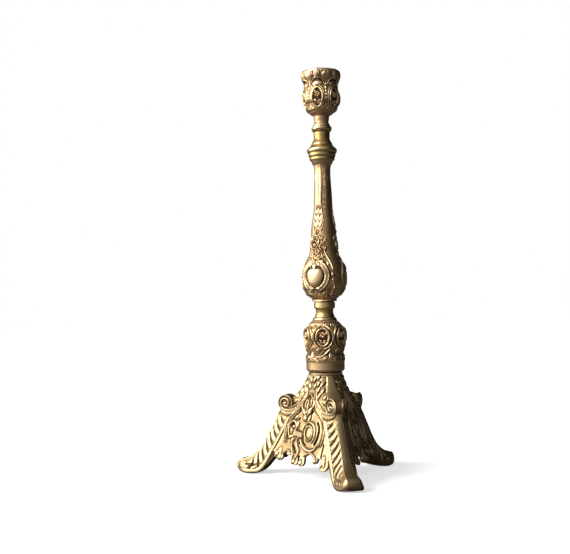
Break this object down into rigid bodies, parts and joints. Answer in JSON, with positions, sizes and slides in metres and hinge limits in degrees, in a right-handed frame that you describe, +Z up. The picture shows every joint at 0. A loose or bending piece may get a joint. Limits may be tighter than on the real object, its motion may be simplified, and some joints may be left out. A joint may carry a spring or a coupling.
{
  "type": "altar candlestick",
  "caption": "Tall cast and turned brass altar candlestick: ornate cup, pear baluster stem, knop and a pierced three-legged pyramid foot.",
  "frame": {"origin": "on the stem's axis, at the level that the three feet stand on", "axes": "+Z up along the stem, -Y towards the front leg, +X to the right seen from the front leg"},
  "size_m": [0.1372, 0.1205, 0.3265],
  "materials": {
    "cast_brass": "aged cast brass, dark in the recesses and rubbed bright on the high places",
    "turned_brass": "turned brass, mellow satin with a thin brown patina",
    "steel": "dull zinc-plated steel"
  },
  "bodies": {
    "stand": {"neck_collar": "turned_brass", "stem": "cast_brass", "lower_collar": "turned_brass", "knop": "cast_brass", "base_ring": "turned_brass", "base_crown": "cast_brass", "leg_front": "cast_brass", "leg_right": "cast_brass", "leg_left": "cast_brass", "panel_right": "cast_brass", "panel_rear": "cast_brass", "panel_left": "cast_brass", "tie_rod": "steel", "plain_washer": "steel", "lock_washer": "steel", "clamp_nut": "steel"},
    "cup": {"candle_cup": "cast_brass"}
  },
  "joints": [
    {"name": "cup_turn", "type": "hinge", "parent": "stand", "child": "cup", "pos_m": [0, 0, 0.2822], "axis": [0, 0, 1], "range_deg": [0, 1800]}
  ]
}
